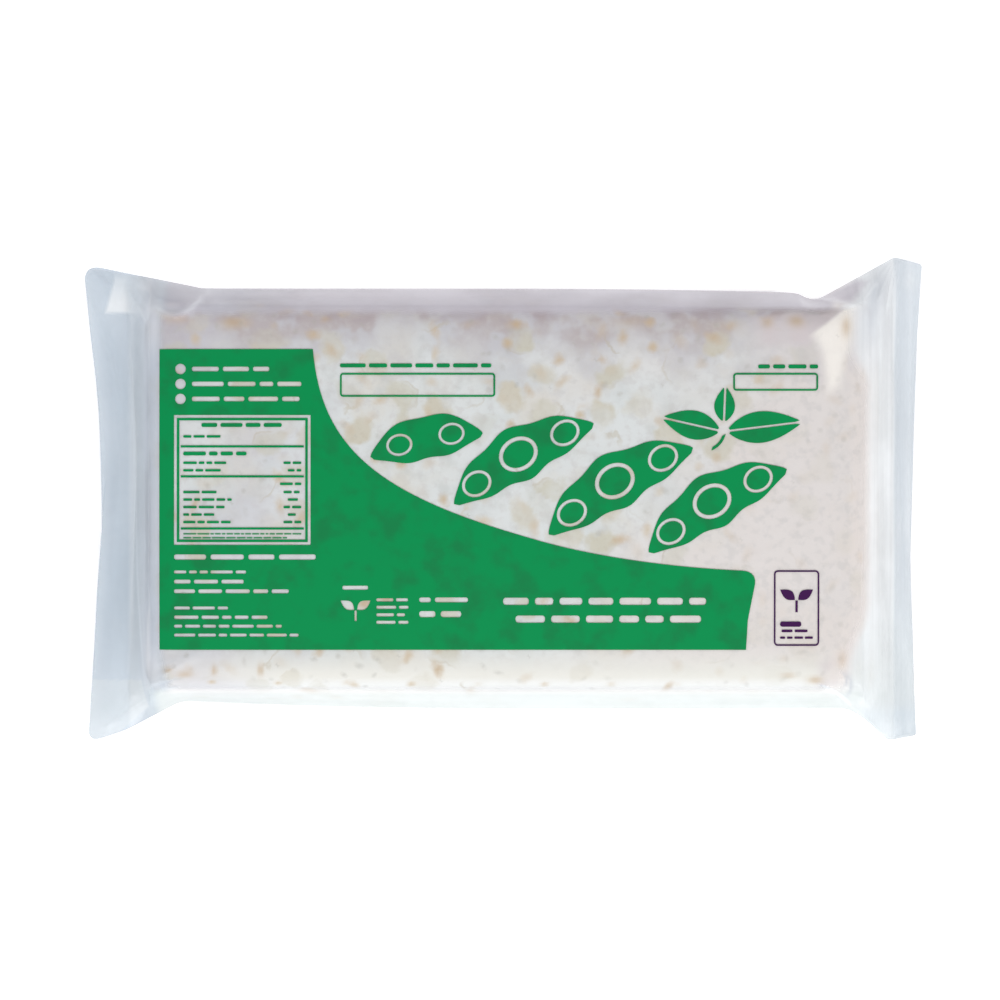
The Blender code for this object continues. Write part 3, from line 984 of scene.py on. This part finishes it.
def pod(base, heading, length, half_width, beans=3):
    """A pod's outline, and a ring for each of its beans."""
    direction = Vector((math.cos(math.radians(heading)), math.sin(math.radians(heading))))
    across = Vector((-direction.y, direction.x))
    base = Vector(base)
    bow = across * length * 0.10
    tip = base + direction * length
    route = (base, base + direction * length / 3 + bow, tip - direction * length / 3 + bow, tip)

    def outline(t):
        body = math.sin(math.pi * min(max(t, 0.0), 1.0)) ** 0.75
        swell = 1 - 0.09 * math.cos(2 * math.pi * beans * (t - 0.03) / 0.94)
        return 0.3 + (half_width - 0.3) * body * swell

    made = [ribbon(route, outline, 60)]
    spine = interpolate_bezier(*route, 61)
    for bean in range(beans):
        scale = 1.0 if 0 < bean < beans - 1 else 0.76
        middle = spine[round(60 * (0.03 + 0.94 * (bean + 0.5) / beans))]
        for size in (0.66, 0.50):
            long = half_width * scale * (size + 0.13)
            wide = half_width * scale * size
            ring = []
            for turn in (2 * math.pi * i / 32 for i in range(32)):
                forward = direction * long * math.cos(turn)
                ring.append(tuple(middle + forward + across * wide * math.sin(turn)))
            made.append(ring)
    return made


green += pod((-37.0, 11.4), 12, 32, 6.2, 2)
green += pod((-13.5, -1.75), 30, 45, 7.2)
green += pod((13.0, -10.25), 31, 47, 7.4)
green += pod((41.0, -15.25), 31, 45, 7.2)


def leaf(base, tip, half_width):
    """A leaf in two halves, with the midrib left clear between them."""
    base, tip = Vector(base), Vector(tip)
    direction = (tip - base).normalized()
    across = Vector((-direction.y, direction.x))
    length = (tip - base).length
    made = []
    for side in (-1, 1):
        rib = [base + direction * length * t + across * side * 0.3 for t in (0.03, 0.3, 0.6, 0.93)]
        edge = [
            base
            + direction * length * t
            + across * side * (0.3 + half_width * math.sin(math.pi * t**0.85) ** 0.9)
            for t in (0.985 - 0.97 * i / 26 for i in range(27))
        ]
        made.append([tuple(place) for place in rib + edge])
    return made


# The three leaves over the last two pods.
green += leaf((60.6, 19.0), (44.8, 22.6), 3.7)
green += leaf((61.9, 21.6), (62.3, 31.2), 2.6)
green += leaf((63.0, 18.9), (83.5, 21.4), 4.1)
green.append(ribbon(((62.0, 18.2), (61.5, 16.0), (60.0, 14.5), (58.2, 13.8)), lambda t: 0.4, 8))

GREEN_INK = (0.004, 0.275, 0.078, 1)
GREEN_DEEP = (0.010, 0.215, 0.066, 1)  # in clouds, where the ink lies thicker
green_ink, tree = new_material("green_ink")
place = add(tree, "TexCoord").outputs["Object"]
wide = cloud(tree, place, 7 * mm, 4.0)
colour = blend_colours(tree, ramp(tree, wide, 0.42, 0.72), GREEN_INK, GREEN_DEEP)
ink = add(
    tree,
    "BsdfPrincipled",
    Base_Color=colour,
    Roughness=ramp(tree, wide, 0.3, 0.7, 0.42, 0.5),
    Specular_IOR_Level=0.04,
)
add(tree, "OutputMaterial", Surface=ink.outputs[0])
green_print = lay_ink("green_print", green)
green_print.data.materials.clear()
green_print.data.materials.append(green_ink)

purple = frame_line(75.9, -41.3, 88.6, -20.1, 0.45, 1.1)
purple += seedling(82.25, -28.4, 4.6)
for row, (half, height) in enumerate(((4.6, 2.4), (4.2, 1.2), (4.6, 1.0))):
    purple += bars(82.25 - half, 82.25 + half, -35.2 - row * 1.9, height, 140 + row, 3)
PURPLE_INK = (0.055, 0.012, 0.075, 1)
purple_ink, tree = new_material("purple_ink")
ink = add(tree, "BsdfPrincipled", Base_Color=PURPLE_INK, Roughness=0.45, Specular_IOR_Level=0.04)
add(tree, "OutputMaterial", Surface=ink.outputs[0])
purple_print = lay_ink("purple_print", purple)
purple_print.data.materials.clear()
purple_print.data.materials.append(purple_ink)


# ---------------------------------------------------------------------------------------------
# The table, the light and the camera
# A plain pale table that glows a little, and more in a narrow strip close behind the pack, so that
# the pack's shadow hardly shows. One broad soft light stands past the pack's front edge, so the
# film there is bright and the back of the pack is in soft shade.

TABLE_PALE = (0.97, 0.97, 0.97, 1)
TABLE_WHITE = (1, 1, 1, 1)
ROOM_GREY = (0.90, 0.90, 0.94, 1)
table_glow, strip_glow = 0.30, 0.55
strip_starts, strip_ends = (0.0590, 0.0608), (0.080, 0.070)  # from the middle to the back
room_glow = 0.66
window_length, window_depth = 0.9, 0.5
window_power = 4.45
window_place = (0.05, -0.45, 0.78)
view_width = 284 * mm

bpy.ops.object.select_all(action="DESELECT")
bpy.ops.mesh.primitive_plane_add(size=4, location=(0, 0, pack_low.z - 0.3 * mm))
floor = bpy.context.object
floor.name = "table"
pale, tree = new_material("pale_table")
axes = add(tree, "SeparateXYZ", Vector=add(tree, "TexCoord").outputs["Object"])
# The strip follows the pack's back outline, which runs out to two ears, with a dip at the right.
left_ear = ramp(tree, axes.outputs["X"], -0.080, -0.121, 0.0, 0.0062)
right_ear = ramp(tree, axes.outputs["X"], 0.088, 0.116, 0.0, 0.0115)
dip = ramp(tree, axes.outputs["X"], 0.0765, 0.086, 0.0, -0.0025)
ears = arithmetic(tree, "ADD", left_ear, right_ear)
behind = arithmetic(tree, "SUBTRACT", axes.outputs["Y"], ears)
behind = arithmetic(tree, "SUBTRACT", behind, dip)
lit_strip = times(
    tree,
    ramp(tree, behind, *strip_starts),
    ramp(tree, behind, *strip_ends),
    ramp(tree, axes.outputs["X"], -0.135, -0.122),
    ramp(tree, axes.outputs["X"], 0.135, 0.122),
)
matt = add(
    tree,
    "BsdfPrincipled",
    Base_Color=TABLE_PALE,
    Roughness=0.9,
    Emission_Color=TABLE_WHITE,
    Emission_Strength=ramp(tree, lit_strip, 0.0, 1.0, table_glow, strip_glow),
)
add(tree, "OutputMaterial", Surface=matt.outputs[0])
floor.data.materials.append(pale)

world = bpy.data.worlds.new("soft_room")
bpy.context.scene.world = world
world.use_nodes = True
background = world.node_tree.nodes["Background"].inputs
background["Color"].default_value = ROOM_GREY
background["Strength"].default_value = room_glow

light_data = bpy.data.lights.new("window", "AREA")
light_data.shape = "RECTANGLE"
light_data.size = window_length
light_data.size_y = window_depth
light_data.energy = window_power
light = bpy.data.objects.new("window", light_data)
bpy.context.scene.collection.objects.link(light)
light.location = window_place
light.rotation_euler = (-Vector(window_place)).to_track_quat("-Z", "Y").to_euler()

camera_data = bpy.data.cameras.new("overhead")
camera_data.lens = 110
camera_data.sensor_width = 36
camera = bpy.data.objects.new("overhead", camera_data)
bpy.context.scene.collection.objects.link(camera)
camera_height = view_width * camera_data.lens / camera_data.sensor_width
camera.location = (-0.85 * mm, -0.4 * mm, pack_high.z / 2 + camera_height)
bpy.context.scene.camera = camera
bpy.context.scene.view_settings.view_transform = "Standard"
